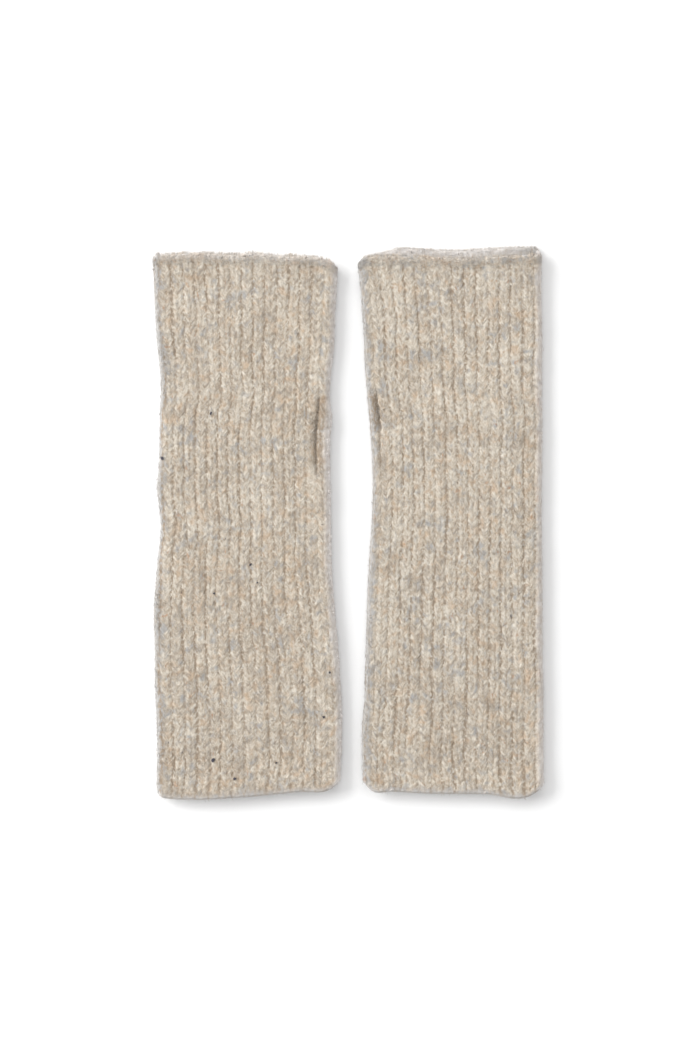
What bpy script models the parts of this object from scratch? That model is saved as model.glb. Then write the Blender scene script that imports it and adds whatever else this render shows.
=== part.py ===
"""A pair of ribbed arm warmers in felted wool, laid flat side by side with the hand ends up the Y axis.

Each one is a single knitted panel that is folded round into a tube and sewn up along the thumb side,
where the seam is left open for a length as the thumb slit. The ribs run the length of the tube. They are
raised in the wall's outer points over a plain inside, and they die out in a narrow plain band at each
end. The underside is flat, because the warmer lies on it.

The origin is at the middle of the pair, on the surface it lies on. X runs across, Y along the ribs
towards the fingers, Z up. Sizes below are in millimetres.
"""

from collections import namedtuple

import bmesh
import bpy
import numpy as np

MM = 0.001

# The wall and its ribs.
WALL = 2.3  # the cloth between ribs
RIB_HEIGHT = 0.9  # how far a rib stands above the furrows beside it
RIBS_ROUND = 32  # ribs round one tube
HOLLOW = 0.8  # the space between the two layers, where they lie on each other
MOUTH_LIFT = 1.0  # how much more the layers stand apart at an end
MOUTH_REACH = 10.0  # how far in from an end that lift dies out

# The plain bands of the first and last rows of knitting.
BAND_HEIGHT = 0.5  # how far a band stands above the furrows
BAND_LENGTH = 3.4
BAND_CREST = 1.5  # where a band is fullest, from the end
BAND_TO_RIBS = 1.8  # from a band to the ribs' full height
GROOVE_HEIGHT = 0.22  # what is left of the ribs in the groove under a band
RIM_ROUNDING = 0.75  # how far the cloth's own edge is rounded in, inside the wall
RIM_ROUNDING_UPPER = 1.05  # the same outside, where ribs stand on the wall

# The seam and the slit.
SEAM_FURROW = 1.4  # the width of the closed seam's furrow
SLIT_WIDTH = 2.4  # the slit at its widest
SLIT_END = 0.5  # its width where it closes
SEAM_SPREAD = 1.5  # how many ribs beside it the slit pushes aside

# Where the points of a rib stand, as shares of its pitch from the furrow before it.
RIB_POINTS = (0.0, 0.22, 0.5, 0.78)
# The ribs of the underside, which is flat and has one point for every other rib.
FLAT_RIBS = range(16, 30)

CROSS_ROWS = 17  # rows of points between the two bands, besides those of the slit
SLIT_ROWS = 6
SLIT_CLEAR = 5.0  # the nearest that another row comes to the slit's ends
SAME = 0.01  # heights nearer than this are one

# The outline of a tube: at the height y, x of its edges on the thumb side and on the outer side, and how
# far in from the thumb side the seam runs.
Side = namedtuple("Side", "y thumb outer seam")
# An end of a tube: at x, y of the upper layer's edge and of the lower layer's edge.
End = namedtuple("End", "x upper lower")
Warmer = namedtuple("Warmer", "name sides hand_end arm_end slit_from slit_to colour")

LEFT = Warmer(
    name="left_arm_warmer",
    sides=[
        Side(-140, -4.6, -99.6, 6.8),
        Side(-117, -3.9, -99.3, 6.8),
        Side(-84, -4.9, -100.5, 6.8),
        Side(-67, -6.0, -100.6, 6.8),
        Side(-50, -7.5, -101.1, 6.8),
        Side(-26, -9.1, -99.6, 6.8),
        Side(-1, -9.6, -97.6, 6.6),
        Side(20, -9.9, -99.4, 6.4),
        Side(29, -10.1, -98.6, 6.5),
        Side(45, -10.0, -98.0, 7.2),
        Side(58, -9.1, -97.9, 6.9),
        Side(66, -10.1, -97.5, 5.6),
        Side(76, -10.0, -97.6, 5.8),
        Side(95, -8.1, -99.5, 6.2),
        Side(116, -7.3, -100.6, 6.4),
        Side(140, -6.0, -101.7, 6.4),
    ],
    hand_end=[
        End(-101.7, 137.6, 137.0),
        End(-98.5, 139.9, 139.0),
        End(-78, 140.6, 139.6),
        End(-61, 139.6, 138.9),
        End(-50, 140.3, 139.3),
        End(-33, 138.8, 138.2),
        End(-18, 138.8, 137.8),
        End(-9, 136.8, 136.0),
        End(-6, 134.2, 133.8),
    ],
    arm_end=[
        End(-99.6, -140.0, -139.6),
        End(-96, -142.4, -141.6),
        End(-85, -143.5, -142.6),
        End(-54, -142.2, -141.4),
        End(-25, -139.5, -138.8),
        End(-10, -138.3, -137.6),
        End(-4.6, -134.6, -134.2),
    ],
    slit_from=25.5,
    slit_to=65.5,
    colour=(0.56, 0.49, 0.41, 1.0),
)

RIGHT = Warmer(
    name="right_arm_warmer",
    sides=[
        Side(-138, 7.5, 101.4, 4.6),
        Side(-117, 7.0, 101.2, 4.6),
        Side(-92, 8.5, 101.1, 4.6),
        Side(-67, 9.1, 100.7, 4.6),
        Side(-38, 10.1, 100.6, 4.6),
        Side(-13, 11.3, 100.4, 4.5),
        Side(8, 12.6, 100.2, 4.3),
        Side(29, 12.6, 100.4, 4.0),
        Side(45, 11.7, 100.6, 4.4),
        Side(55, 11.0, 100.6, 4.9),
        Side(66, 9.9, 100.4, 4.5),
        Side(81, 8.7, 100.4, 4.5),
        Side(99, 8.1, 100.5, 4.6),
        Side(120, 6.6, 100.1, 4.6),
        Side(138, 4.9, 100.1, 4.6),
    ],
    hand_end=[
        End(4.9, 135.6, 136.4),
        End(8, 137.6, 138.6),
        End(15, 138.3, 140.2),
        End(26, 138.6, 143.0),
        End(42, 138.5, 142.4),
        End(58, 137.8, 142.2),
        End(79, 138.8, 143.4),
        End(93, 139.7, 143.8),
        End(98, 139.4, 143.2),
        End(100.2, 137.4, 139.6),
    ],
    arm_end=[
        End(7.4, -134.8, -134.4),
        End(12, -138.9, -138.2),
        End(22, -139.3, -138.6),
        End(40, -140.3, -139.6),
        End(70, -140.6, -139.8),
        End(96, -140.6, -139.8),
        End(101.4, -136.6, -136.2),
    ],
    slit_from=32.2,
    slit_to=67.6,
    colour=(0.55, 0.48, 0.40, 1.0),
)


def smooth_through(rows, along, field, at):
    """Cubic Hermite curve through a table's field against its column along, read at the places at."""
    known = np.array([getattr(row, along) for row in rows], float)
    values = np.array([getattr(row, field) for row in rows], float)
    slopes = np.gradient(values, known)
    at = np.clip(at, known[0], known[-1])
    i = np.clip(np.searchsorted(known, at) - 1, 0, len(known) - 2)
    step = known[i + 1] - known[i]
    t = (at - known[i]) / step
    start = (1 + 2 * t) * (1 - t) ** 2 * values[i] + t * (1 - t) ** 2 * step * slopes[i]
    end = t**2 * (3 - 2 * t) * values[i + 1] + t**2 * (t - 1) * step * slopes[i + 1]
    return start + end


def seam_gap(warmer, y):
    """Distance between the panel's two edges at the seam: a furrow where it is sewn, a lens where it is open."""
    along = (y - warmer.slit_from) / (warmer.slit_to - warmer.slit_from)
    if along < -SAME or along > 1 + SAME:
        return SEAM_FURROW
    return SLIT_END + (SLIT_WIDTH - SLIT_END) * np.sin(np.pi * np.clip(along, 0, 1)) ** 0.7


def rib_places():
    """Where the columns of points stand round the tube, in ribs from the seam."""
    places = []
    for rib in range(RIBS_ROUND):
        if rib not in FLAT_RIBS:
            places += [rib + share for share in RIB_POINTS]
        elif rib % 2 == 0:
            places.append(rib)
    return np.array(places + [RIBS_ROUND], float)


def row_heights(warmer):
    """Nominal y of each row of points, from the arm end to the hand end."""
    low = min(end.upper for end in warmer.arm_end)
    high = max(end.upper for end in warmer.hand_end)
    band = np.array([0, BAND_CREST, BAND_LENGTH, BAND_LENGTH + BAND_TO_RIBS])
    between = np.linspace(low, high, CROSS_ROWS + 2)[1:-1]
    slit = np.linspace(warmer.slit_from, warmer.slit_to, SLIT_ROWS)
    clear = (between < warmer.slit_from - SLIT_CLEAR) | (between > warmer.slit_to + SLIT_CLEAR)
    return np.sort(np.concatenate([low + band, between[clear], slit, high - band]))


def flattened_loop(arc, width, radius, inset):
    """Points of a flattened loop and its outward direction, at arc lengths from the seam on its upper side.

    Across runs from the thumb side to the outer side and z up. The loop is a straight run on top, a half
    circle, a straight run below and another half circle.
    """
    run = width - 2 * radius
    half_circle = np.pi * radius
    starts = np.cumsum([width - radius - inset, half_circle, run, half_circle])
    outer_angle = (arc - starts[0]) / radius
    thumb_angle = (arc - starts[2]) / radius
    stretches = [arc < starts[0], arc < starts[1], arc < starts[2], arc < starts[3]]
    across = np.select(
        stretches,
        [
            inset + arc,
            width - radius + radius * np.sin(outer_angle),
            width - radius - (arc - starts[1]),
            radius - radius * np.sin(thumb_angle),
        ],
        radius + (arc - starts[3]),
    )
    level = np.zeros_like(arc)
    sideways = np.select(stretches, [level, np.sin(outer_angle), level, -np.sin(thumb_angle)], 0)
    up = np.select(stretches, [level + 1, np.cos(outer_angle), level - 1, -np.cos(thumb_angle)], 1)
    return across, radius + radius * up, sideways, up


def relief(places, to_end, up):
    """How far the outer points of one row stand off the wall: ribs, or the plain band at an end."""
    ribs = np.abs(np.sin(np.pi * places)) ** 0.6
    if to_end < BAND_LENGTH - SAME:
        raised = np.full_like(ribs, BAND_HEIGHT)
    elif to_end < BAND_LENGTH + SAME:
        raised = GROOVE_HEIGHT * ribs
    else:
        raised = RIB_HEIGHT * ribs
    raised = raised * np.clip((up + 0.9) / 0.7, 0, 1)  # none on the underside
    if to_end < SAME:
        raised = raised - np.where(up > -0.9, RIM_ROUNDING_UPPER, RIM_ROUNDING)
    return raised


def wall_points(warmer):
    """The outer and the inner points of one tube, rows by columns by 3, and which rows' strips are slit."""
    places = rib_places()
    heights = row_heights(warmer)
    low, high = heights[0], heights[-1]
    thumb = smooth_through(warmer.sides, "y", "thumb", heights)
    far_side = smooth_through(warmer.sides, "y", "outer", heights)
    seam = smooth_through(warmer.sides, "y", "seam", heights)
    outwards = np.sign(far_side[0] - thumb[0])
    outer, inner = [], []
    for y, thumb_x, far_x, inset in zip(heights, thumb, far_side, seam):
        width = abs(far_x - thumb_x)
        to_end = min(y - low, high - y)
        lift = MOUTH_LIFT * np.exp(-((to_end / MOUTH_REACH) ** 2))
        radius = WALL + (HOLLOW + lift) / 2
        around = 2 * (width - 2 * radius) + 2 * np.pi * radius
        half_gap = seam_gap(warmer, y) / 2
        pushed = np.exp(-((places / SEAM_SPREAD) ** 2))
        pushed = pushed - np.exp(-(((RIBS_ROUND - places) / SEAM_SPREAD) ** 2))
        arc = places / RIBS_ROUND * around + half_gap * pushed
        across, z, sideways, up = flattened_loop(arc, width, radius, inset)

        x = thumb_x + outwards * across
        layer = (1 + up) / 2  # 1 on the upper layer and 0 on the lower, turning over at the side folds
        arm_y, hand_y = (
            layer * smooth_through(end, "x", "upper", x) + (1 - layer) * smooth_through(end, "x", "lower", x)
            for end in (warmer.arm_end, warmer.hand_end)
        )
        along = arm_y + (y - low) / (high - low) * (hand_y - arm_y)
        raised = relief(places, to_end, up)
        depth = WALL - RIM_ROUNDING if to_end < SAME else WALL
        outer.append(np.stack([x + outwards * sideways * raised, along, z + up * raised], axis=1))
        inner.append(np.stack([x - outwards * sideways * depth, along, z - up * depth], axis=1))
    in_slit = (heights[:-1] > warmer.slit_from - SAME) & (heights[1:] < warmer.slit_to + SAME)
    return np.array(outer), np.array(inner), in_slit


def tube_mesh(warmer):
    """The closed wall of one tube: an outer and an inner skin, joined round both ends and along the slit."""
    outer_points, inner_points, in_slit = wall_points(warmer)
    shell = bmesh.new()
    outer = [[shell.verts.new(p * MM) for p in row] for row in outer_points]
    inner = [[shell.verts.new(p * MM) for p in row] for row in inner_points]
    rows, columns = len(outer), len(outer[0])
    last = columns - 1
    for i in range(rows - 1):
        for j in range(columns):
            if j == last and in_slit[i]:
                continue
            after = (j + 1) % columns
            for skin in (outer, inner):
                shell.faces.new([skin[i][j], skin[i][after], skin[i + 1][after], skin[i + 1][j]])
        if in_slit[i]:
            for j in (0, last):
                shell.faces.new([outer[i][j], outer[i + 1][j], inner[i + 1][j], inner[i][j]])
    for i in (0, rows - 1):
        for j in range(columns):
            after = (j + 1) % columns
            shell.faces.new([outer[i][j], outer[i][after], inner[i][after], inner[i][j]])
    slit_strips = np.flatnonzero(in_slit)
    for i in (slit_strips[0], slit_strips[-1] + 1):
        shell.faces.new([outer[i][last], outer[i][0], inner[i][0], inner[i][last]])
    bmesh.ops.triangulate(shell, faces=shell.faces[:])
    bmesh.ops.recalc_face_normals(shell, faces=shell.faces[:])
    mesh = bpy.data.meshes.new(warmer.name)
    shell.to_mesh(mesh)
    shell.free()
    return mesh


def wool(warmer):
    """Matt felted wool in the tube's own colour."""
    material = bpy.data.materials.new(f"wool_{warmer.name}")
    material.use_nodes = True
    shader = material.node_tree.nodes["Principled BSDF"]
    shader.inputs["Base Color"].default_value = warmer.colour
    shader.inputs["Roughness"].default_value = 0.95
    shader.inputs["Metallic"].default_value = 0.0
    material.diffuse_color = warmer.colour
    return material


def centre_on_origin(objects):
    """Moves the meshes together, so that the pair's middle is at x = y = 0 and its underside at z = 0."""
    points = np.array([v.co for o in objects for v in o.data.vertices])
    low, high = points.min(axis=0), points.max(axis=0)
    middle = np.array([(low[0] + high[0]) / 2, (low[1] + high[1]) / 2, low[2]])
    for o in objects:
        for vertex in o.data.vertices:
            vertex.co = np.array(vertex.co) - middle


def main():
    for old in list(bpy.data.objects):
        bpy.data.objects.remove(old, do_unlink=True)
    collection = bpy.data.collections.new("arm_warmers")
    bpy.context.scene.collection.children.link(collection)
    made = []
    for warmer in (LEFT, RIGHT):
        tube = bpy.data.objects.new(warmer.name, tube_mesh(warmer))
        tube.data.materials.append(wool(warmer))
        tube.data.shade_smooth()
        collection.objects.link(tube)
        made.append(tube)
    centre_on_origin(made)


main()
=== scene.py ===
"""A pair of ribbed arm warmers in felted wool, dressed: knitted stitches, chained edges and soft nap.

Each tube is laid out in cloth coordinates: the place round it in ribs from the seam, the height along it and
the stand out of its wall. One function takes these to space, so that the wall, the stitches, the chains along
the edges and the loose fibres all follow the tube as it lies. The tables and the sizes between them are in
millimetres, as in the part's source, and the settings in the panel are in metres.
"""

from collections import namedtuple

import bmesh
import bpy
import numpy as np
from bpy.props import FloatProperty, FloatVectorProperty, IntProperty, PointerProperty
from bpy.types import Operator, Panel, PropertyGroup
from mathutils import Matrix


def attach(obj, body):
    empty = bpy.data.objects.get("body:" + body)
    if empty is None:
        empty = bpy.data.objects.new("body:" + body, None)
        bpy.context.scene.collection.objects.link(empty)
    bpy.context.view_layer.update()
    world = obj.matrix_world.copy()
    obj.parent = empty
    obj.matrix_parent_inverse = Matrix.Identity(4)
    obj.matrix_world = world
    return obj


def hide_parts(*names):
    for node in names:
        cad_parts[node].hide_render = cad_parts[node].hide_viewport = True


bl_info = {
    "name": "Arm warmers",
    "version": (1, 0, 0),
    "blender": (4, 5, 0),
    "location": "3D View > Sidebar > Arm warmers",
    "description": "Knits a pair of ribbed wool arm warmers round their packed solids",
    "category": "Object",
}

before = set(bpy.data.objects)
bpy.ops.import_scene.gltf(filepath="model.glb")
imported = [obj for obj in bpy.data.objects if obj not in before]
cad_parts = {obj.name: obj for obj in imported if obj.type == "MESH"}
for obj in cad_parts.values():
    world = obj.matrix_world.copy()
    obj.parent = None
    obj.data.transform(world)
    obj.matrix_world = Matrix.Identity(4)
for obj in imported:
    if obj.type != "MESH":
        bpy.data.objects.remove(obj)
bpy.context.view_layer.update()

MM = 0.001

# The tubes as their solids have them.
WALL = 2.3  # the cloth between ribs
RIBS_ROUND = 32  # ribs round one tube
RIB_PITCH = 5.85  # from one rib to the next, in the middle of a tube
HOLLOW = 0.8  # the space between the two layers, where they lie on each other
FOLD_RADIUS = WALL + HOLLOW / 2  # the radius of the side folds, away from the ends
MOUTH_LIFT = 1.0  # how much more the layers stand apart at an end
MOUTH_REACH = 10.0  # how far in from an end that lift dies out
SEAM_GAP = 0.02  # the gap at the closed seam, which felting has drawn together
SLIT_WIDTH = 0.6  # the slit at its widest, between edges that sag
SLIT_END = 0.35  # its width where it closes
SLIT_SAG = 0.5  # how far its edges sag towards the lower layer
SLIT_EASE = 2.0  # how far beyond the slit the seam takes to reach its own width
SEAM_SPREAD = 1.1  # how many ribs beside it the slit pushes aside
BEDDING = 0.3  # how far the wall lies behind its knitted face
FURROW_DEPTH = 0.1  # how far the stitches fall back in the furrows
BAND = 4.4  # the height of the cast-on band
SWELL = 0.22  # how far the upper layer swells up and down
PAIR_MIDDLE = np.array([-0.131, 0.251, 0.0])  # the middle of the pair in the tables' own places

# The outline of a tube: at the height y, x of its edges on the thumb side and on the outer side, and how
# far in from the thumb side the seam runs.
Side = namedtuple("Side", "y thumb outer seam")
# An end of a tube: at x, y of the upper layer's edge and of the lower layer's edge.
End = namedtuple("End", "x upper lower")
# A tube. Its folds are at places, the one that faces the light first; its fluff is how much pale painted
# light the other fold, in the shade, takes, and it also sets the painted light and shade at the hand rim. Its
# slit runs from one height to another, is widest further up the greater its bias is, and has felted over up
# to a height. Its tone is how grey the wool is, lower on the right tube as painted light where the key light
# falls weaker, and its seed starts its noises and its random draws.
Warmer = namedtuple(
    "Warmer", "name sides hand_end arm_end folds fluff slit_from slit_to slit_bias felted_to tone seed"
)
# A dark speck in the wool of an upper layer, how far it slants from the row in degrees, and its size.
Speck = namedtuple("Speck", "x y slant size")


def table(row, *values):
    """A table with rows of that kind."""
    return [row(*each) for each in values]


LEFT = Warmer(
    name="left",
    sides=table(
        Side,
        (-140, -4.6, -99.6, 6.8), (-117, -3.9, -99.3, 6.8), (-84, -4.9, -100.5, 6.8),
        (-67, -6.0, -100.6, 6.8), (-50, -7.5, -101.1, 6.8), (-26, -9.1, -99.6, 6.8), (-1, -9.6, -97.6, 6.6),
        (20, -9.9, -99.4, 6.4), (29, -10.1, -98.6, 6.5), (45, -10.0, -98.0, 7.2), (58, -9.1, -97.9, 6.9),
        (66, -10.1, -97.5, 5.6), (76, -10.0, -97.6, 5.8), (95, -8.1, -99.5, 6.2), (116, -7.3, -100.6, 6.4),
        (140, -6.0, -101.7, 6.4),
    ),
    hand_end=table(
        End,
        (-101.7, 139.4, 138.9), (-100.2, 140.1, 139.2), (-98.5, 139.9, 139.0), (-78, 140.6, 139.6),
        (-61, 139.6, 138.9), (-50, 140.3, 139.3), (-33, 138.8, 138.2), (-18, 138.7, 137.7),
        (-11.7, 136.8, 136.0), (-8.5, 135.4, 134.6), (-6, 133.6, 132.8),
    ),
    arm_end=table(
        End,
        (-99.8, -139.6, -139.2), (-99.3, -140.7, -140.2), (-98.2, -141.7, -141.1), (-96.5, -142.5, -141.8),
        (-94, -142.9, -142.2), (-85, -143.5, -142.6), (-54, -142.2, -141.4), (-25, -139.5, -138.8),
        (-10, -138.3, -137.6), (-4.6, -134.6, -134.2),
    ),
    folds=(14.6, 30.6),
    fluff=1.0,
    slit_from=25.5,
    slit_to=65.5,
    slit_bias=1.0,
    felted_to=25.5,
    tone=0.39,
    seed=11,
)

RIGHT = Warmer(
    name="right",
    sides=table(
        Side,
        (-138, 7.5, 101.4, 4.6), (-117, 7.0, 101.2, 4.6), (-92, 8.5, 101.1, 4.6), (-67, 9.1, 100.7, 4.6),
        (-38, 10.1, 100.6, 4.6), (-13, 11.3, 100.4, 4.5), (8, 12.6, 100.2, 4.3), (29, 12.6, 100.4, 4.0),
        (45, 11.7, 100.6, 4.4), (55, 11.0, 100.6, 4.9), (66, 9.9, 100.4, 4.5), (81, 8.7, 100.4, 4.5),
        (99, 8.1, 100.5, 4.6), (120, 6.6, 100.1, 4.6), (138, 4.9, 100.1, 4.6),
    ),
    hand_end=table(
        End,
        (4.9, 135.6, 136.4), (8, 137.6, 138.6), (15, 138.8, 140.2), (26, 139.0, 143.0), (42, 138.5, 142.4),
        (58, 137.8, 142.2), (79, 138.8, 143.4), (93, 139.7, 143.8), (97.4, 139.6, 143.7),
        (98.8, 139.4, 143.4), (99.8, 138.9, 142.7), (100.4, 138.0, 141.5), (100.7, 137.0, 139.6),
    ),
    arm_end=table(
        End,
        (7.4, -134.8, -134.4), (12, -138.9, -138.2), (22, -139.3, -138.6), (40, -140.3, -139.6),
        (70, -140.6, -139.8), (96, -140.6, -139.8), (101.4, -136.6, -136.2),
    ),
    folds=(31.0, 14.95),
    # Less painted light on its fold in the shade, more painted shade at its hand rim.
    fluff=0.75,
    slit_from=32.2,
    slit_to=67.6,
    slit_bias=4.0,
    felted_to=53.0,
    # Lower than the left tube's: painted light where the key light falls weaker.
    tone=0.35,
    seed=23,
)

PAIR = (LEFT, RIGHT)

SPECKS = table(
    Speck,
    (-96.6, 33.8, 60, 1.2), (-71.8, 57.2, 40, 1.0), (-50.4, -21.3, 70, 0.8), (-47.8, -30.7, 30, 0.65),
    (-69.4, -36.4, 55, 0.65), (-70.6, -122.7, 45, 1.5), (-58.8, -132.6, 50, 0.9), (-37.7, -124.3, 40, 0.75),
    (-10.3, -77.5, 65, 0.6), (-13.3, -100.6, 50, 0.75),
)
SPECK_FIBRES = 16  # fibres in a speck


# ---------------- the cloth's own coordinates


def smooth_through(rows, along, field, at):
    """Cubic Hermite curve through a table's field against its column along, read at the places at."""
    known = np.array([getattr(row, along) for row in rows], float)
    values = np.array([getattr(row, field) for row in rows], float)
    slopes = np.gradient(values, known)
    at = np.clip(at, known[0], known[-1])
    i = np.clip(np.searchsorted(known, at) - 1, 0, len(known) - 2)
    step = known[i + 1] - known[i]
    t = (at - known[i]) / step
    start = (1 + 2 * t) * (1 - t) ** 2 * values[i] + t * (1 - t) ** 2 * step * slopes[i]
    end = t**2 * (3 - 2 * t) * values[i + 1] + t**2 * (t - 1) * step * slopes[i + 1]
    return start + end


def drift(seed, u, v):
    """Smooth noise from -1 to 1: random values at whole numbers of u and v, eased between them."""
    size = 64
    values = np.random.default_rng(seed).uniform(-1, 1, (size, size))
    u, v = np.broadcast_arrays(u, v)
    i, j = np.floor(u).astype(int), np.floor(v).astype(int)
    s, t = u - i, v - j
    s, t = s * s * (3 - 2 * s), t * t * (3 - 2 * t)

    def along(i):
        return values[i % size, j % size] * (1 - t) + values[i % size, (j + 1) % size] * t

    return along(i) * (1 - s) + along(i + 1) * s


def noise_of(warmer, place, height):
    """A tube's noises at points, each by its number, its width in ribs and its height in millimetres.

    The place is counted from the far side of the tube, so that they carry on over the seam.
    """
    turned = (place + RIBS_ROUND / 2) % RIBS_ROUND
    return lambda number, wide, tall: drift(warmer.seed + number, turned / wide, height / tall)


def rib_noise(warmer, number, rib, height, tall, apart=1.7):
    """Noise that runs along a rib or along the groove between two ribs. Each has its own, because they lie
    apart in it.
    """
    return drift(warmer.seed + number, rib * apart, height / tall)


def hill(away, width, power=2):
    """A smooth hill: 1 where away is 0, and 1/e where it is as great as the width."""
    return np.exp(-((away / width) ** power))


def ends_of(warmer):
    """The lowest and the highest height of a tube."""
    return min(end.upper for end in warmer.arm_end), max(end.upper for end in warmer.hand_end)


def outwards(warmer):
    """The sign of x from a tube's thumb side to its outer side."""
    return np.sign(warmer.sides[0].outer)


def section_at(warmer, y):
    """Of a tube's section at y: x of its thumb side, its width, and how far in its seam runs."""
    thumb, outer, seam = (smooth_through(warmer.sides, "y", field, y) for field in Side._fields[1:])
    return thumb, np.abs(outer - thumb), seam


def way_round(width, radius):
    """Length of the way round a tube of that width and with folds of that radius."""
    return 2 * (width - 2 * radius) + 2 * np.pi * radius


def from_seam(place):
    """Distance from the seam in ribs, on either side of it."""
    return np.minimum(place, RIBS_ROUND - place)


def in_far_fold(place):
    """How deep a point is in the fold on the outer side, from 0 to 1."""
    return hill(place - RIBS_ROUND / 2, 1.5)


def off_crest(place):
    """How far a point is from its rib's middle: 0 on the crest, 1 in the furrows, at whole numbers."""
    return np.abs(2 * (place % 1) - 1)


def rib_crest(place):
    """How full the rib is at a place: 0 in the furrows and 1 on the crest between them."""
    return 1 - off_crest(place) ** 2.1


def seam_gap(warmer, height):
    """Distance between the panel's edges at the seam: a groove where it is sewn, a lens where it is open."""
    along = np.clip((height - warmer.slit_from) / (warmer.slit_to - warmer.slit_from), 0, 1)
    inside = SLIT_END + (SLIT_WIDTH - SLIT_END) * np.sin(np.pi * along**warmer.slit_bias) ** 0.6
    beyond = np.maximum(warmer.slit_from - height, height - warmer.slit_to)
    outside = SLIT_END + (SEAM_GAP - SLIT_END) * np.clip(beyond / SLIT_EASE, 0, 1)
    return np.where(beyond < 0, inside, outside)


def at_closed_seam(warmer, place, height):
    """How near a point is to the seam where it is sewn up, from 0 to 1."""
    closed = 1 - np.clip((seam_gap(warmer, height) - SEAM_GAP) / (SLIT_END - SEAM_GAP), 0, 1)
    return closed * hill(from_seam(place), 0.3)


def openness(warmer, height):
    """How far the slit stands open, from 0 to 1: little at its ends, nothing where it has felted over."""
    not_felted = np.clip((height - warmer.felted_to) / 4 + 1.5, 0, 1)
    return not_felted * np.clip(seam_gap(warmer, height) / SLIT_END - 0.6, 0, 1)


def at_slit(warmer, place, height):
    """How near a point is to the open slit, from 0 to 1. At the slit's upper end it puckers sideways."""
    pucker = np.exp(-(((height - warmer.slit_to) / 1.3) ** 2) - ((RIBS_ROUND - place - 0.5) / 0.45) ** 2)
    return np.clip(openness(warmer, height) * hill(from_seam(place), 0.36) + 0.9 * pucker, 0, 1)


def flattened_loop(arc, width, radius, inset):
    """Points of a flattened loop and its outward direction, at arc lengths from the seam on its upper side.

    Across runs from the thumb side to the outer side and z up. The loop is a straight run on top, a half
    circle, a straight run below and another half circle.
    """
    turns = [width - radius - inset]
    for length in (np.pi * radius, width - 2 * radius, np.pi * radius):
        turns.append(turns[-1] + length)
    stretches = [arc < turn for turn in turns]
    outer = (arc - turns[0]) / radius
    thumb = (arc - turns[2]) / radius
    outer_across = width - radius + radius * np.sin(outer)
    below = width - radius - (arc - turns[1])
    thumb_across = radius - radius * np.sin(thumb)
    across = np.select(
        stretches, [inset + arc, outer_across, below, thumb_across], radius + (arc - turns[3])
    )
    level = np.zeros_like(arc)
    sideways = np.select(stretches, [level, np.sin(outer), level, -np.sin(thumb)], 0)
    up = np.select(stretches, [level + 1, np.cos(outer), level - 1, -np.cos(thumb)], 1)
    return across, radius + radius * up, sideways, up


def pressed(stand, up):
    """How far a point really stands out: as given on top and at the folds, squeezed flat underneath."""
    below = np.minimum(0.45 * stand - 0.5, 0)
    above = np.clip((up + 0.9) / 0.7, 0, 1)
    return np.where(stand < -WALL / 2, stand, above * stand + (1 - above) * below)


def wander(warmer, place, height):
    """How far the knitting has strayed round the tube, in ribs: slowly, faster, and from stitch to stitch."""
    slow = 0.09 * drift(warmer.seed + 1, place / 1.7, height / 18)
    faster = 0.05 * drift(warmer.seed + 2, place / 0.8, height / 7)
    each = 0.08 * noise_of(warmer, place, height)(8, 0.9, 1.5)
    from_far_side = np.abs(place - RIBS_ROUND / 2)
    return np.clip(from_seam(place), 0, 1) * (slow + faster) + np.clip(from_far_side, 0, 1) * each


def cloth_to_space(warmer, place, height, stand):
    """Where a point of the knitting lies, in metres, in an array with x, y and z last.

    The place turns into an arc length round the flattened loop that the tube is at this height, which gives
    the point across the tube, its z and the outward direction. The height is stretched between the two
    ends' own outlines, and the stand moves the point outwards. The place strays a little, as knitting does,
    a slow swell lifts and lowers the upper layer, and it sags at the open slit.
    """
    place, height, stand = np.broadcast_arrays(place, height, stand)
    place = place + wander(warmer, place, height)
    low, high = ends_of(warmer)
    thumb_x, width, inset = section_at(warmer, height)
    to_end = np.clip(np.minimum(height - low, high - height), 0, None)
    radius = WALL + (HOLLOW + MOUTH_LIFT * hill(to_end, MOUTH_REACH)) / 2
    pushed = hill(place, SEAM_SPREAD) - hill(RIBS_ROUND - place, SEAM_SPREAD)
    arc = place / RIBS_ROUND * way_round(width, radius) + seam_gap(warmer, height) / 2 * pushed
    across, z, sideways, up = flattened_loop(arc, width, radius, inset)

    x = thumb_x + outwards(warmer) * across
    layer = (1 + up) / 2
    arm_y, hand_y = (
        layer * smooth_through(end, "x", "upper", x) + (1 - layer) * smooth_through(end, "x", "lower", x)
        for end in (warmer.arm_end, warmer.hand_end)
    )
    y = arm_y + (height - low) / (high - low) * (hand_y - arm_y)
    out = pressed(stand, up)
    swell = SWELL * layer * drift(warmer.seed, x / 17, y / 21)
    sag = SLIT_SAG * layer * at_slit(warmer, place, height)
    spot = np.stack([x + outwards(warmer) * sideways * out, y, z + up * out + swell - sag], axis=-1)
    return (spot - PAIR_MIDDLE) * MM


# ---------------- meshes from arrays


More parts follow.
